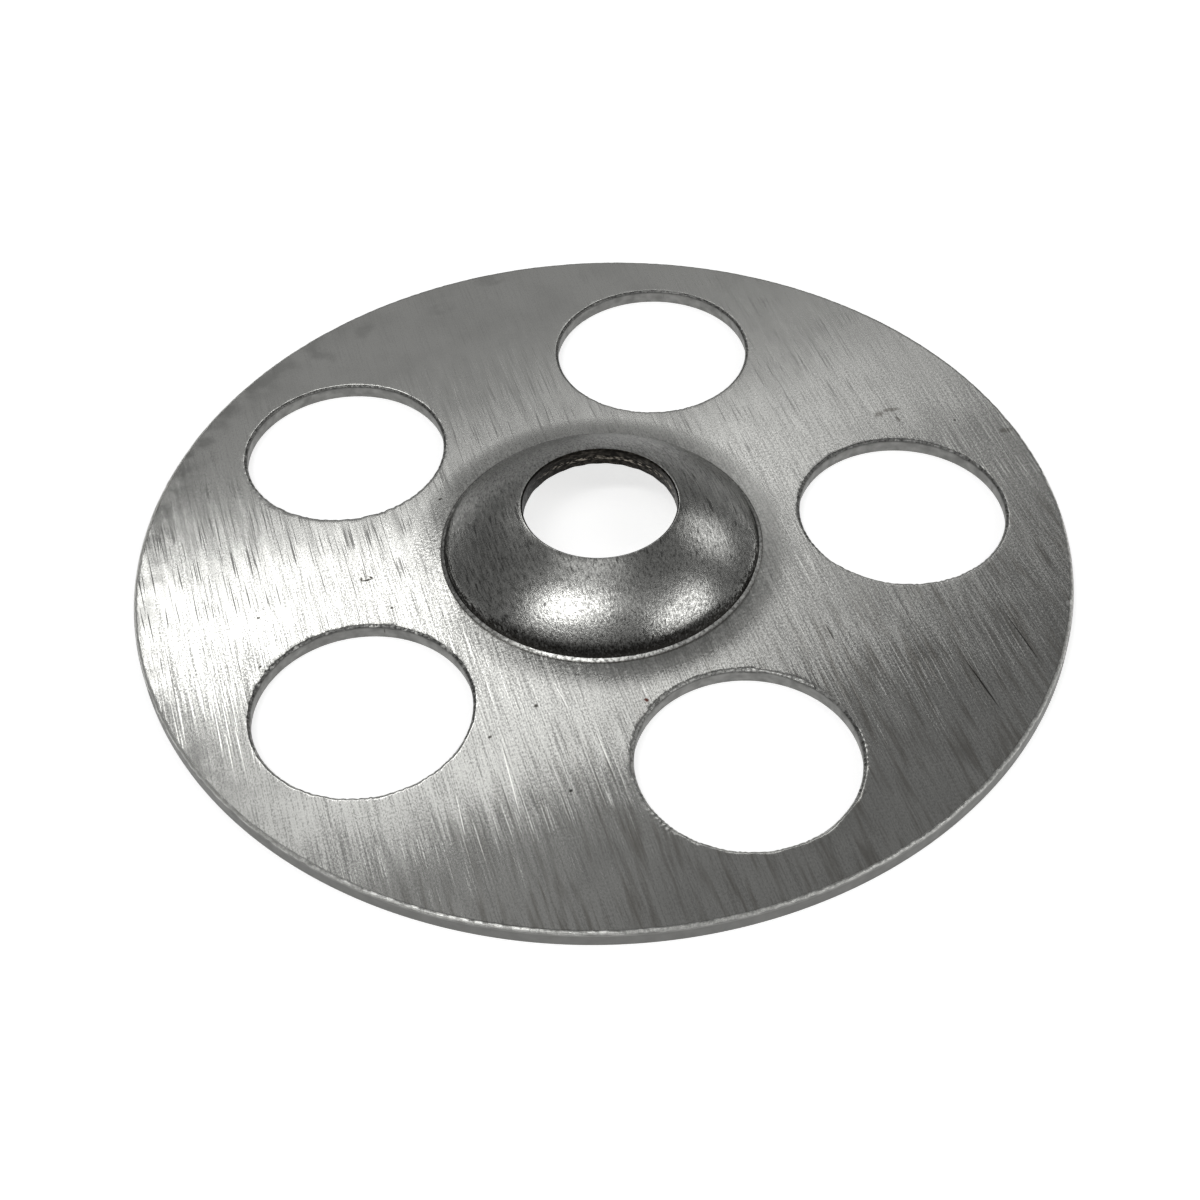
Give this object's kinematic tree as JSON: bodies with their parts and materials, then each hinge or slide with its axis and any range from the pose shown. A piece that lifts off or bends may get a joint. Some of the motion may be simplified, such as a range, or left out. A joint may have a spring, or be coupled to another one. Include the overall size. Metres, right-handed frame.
{
  "type": "insulation washer",
  "caption": "Round washer pressed from sheet steel for fixing boards: a flat perforated disc with a raised central dome and a screw hole through it.",
  "frame": {"origin": "centre of the underside, on the axis of the screw hole", "axes": "+Z along the axis, up through the dome; the first perforation lies 6 degrees anticlockwise from +X"},
  "size_m": [0.036, 0.036, 0.0028],
  "materials": {
    "steel": "bright mill finish with straight rolling scratches"
  },
  "bodies": {
    "root": {"washer": "steel"}
  },
  "joints": []
}
